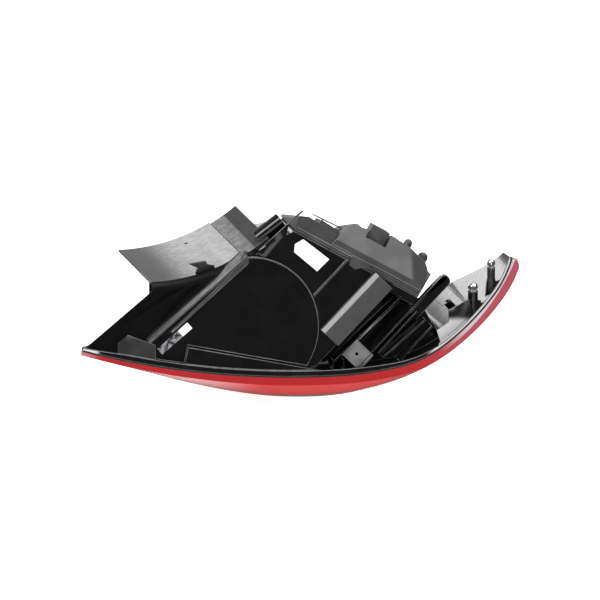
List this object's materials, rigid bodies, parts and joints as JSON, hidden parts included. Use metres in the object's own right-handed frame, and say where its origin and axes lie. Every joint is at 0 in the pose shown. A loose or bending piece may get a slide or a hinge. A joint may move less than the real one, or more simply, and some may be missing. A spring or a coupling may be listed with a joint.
{
  "type": "tail light cluster",
  "caption": "Rear lamp cluster of a car: crowned red lens on a black moulded housing with a grey side cover, a bulb carrier with connector, and bright locating studs.",
  "frame": {"origin": "middle of the bright head of the lower, larger locating stud, on its axis", "axes": "+X along the lamp towards its stud end, +Y from the near edge across the lamp, +Z along the studs, away from the lens"},
  "size_m": [0.4478, 0.173, 0.2011],
  "materials": {
    "red_lens": "glossy moulded acrylic, red",
    "clear_lens": "glossy moulded acrylic, clear",
    "bead": "cured adhesive",
    "black_gloss": "moulded, glossy black with light scuffs",
    "grey_cover": "moulded, fine satin grain",
    "black_trim": "moulded, satin",
    "carrier_grey": "moulded, matte grain",
    "foam": "closed-cell foam",
    "contact_metal": "tinned strip, dull",
    "reflector_metal": "vacuum-metallised plastic",
    "reflex_red": "glossy moulded acrylic, red",
    "screw_steel": "zinc plated",
    "stud_metal": "bright plated steel",
    "bulb_clear": "clear blown glass",
    "bulb_amber": "amber blown glass",
    "bulb_cap": "drawn metal cap, dull",
    "label_white": "printed-film label, blank"
  },
  "bodies": {
    "root": {"outer_lens": "red_lens", "lens_window": "clear_lens", "lens_seal": "bead", "housing": "black_gloss", "side_cover": "grey_cover", "cover_clip": "black_trim", "bulb_carrier": "carrier_grey", "carrier_gasket": "foam", "connector_pins": "contact_metal", "contact_strips": "contact_metal", "carrier_strap": "black_trim", "reflector": "reflector_metal", "reflex_reflector": "reflex_red", "reflector_screws": "screw_steel", "bulb_glass_left": "bulb_clear", "bulb_glass_right": "bulb_amber", "bulb_base_left": "bulb_cap", "bulb_base_right": "bulb_cap", "stud_lower": "stud_metal", "stud_upper": "stud_metal", "vent_cap": "black_trim", "label_large": "label_white", "label_small": "label_white"}
  },
  "joints": []
}
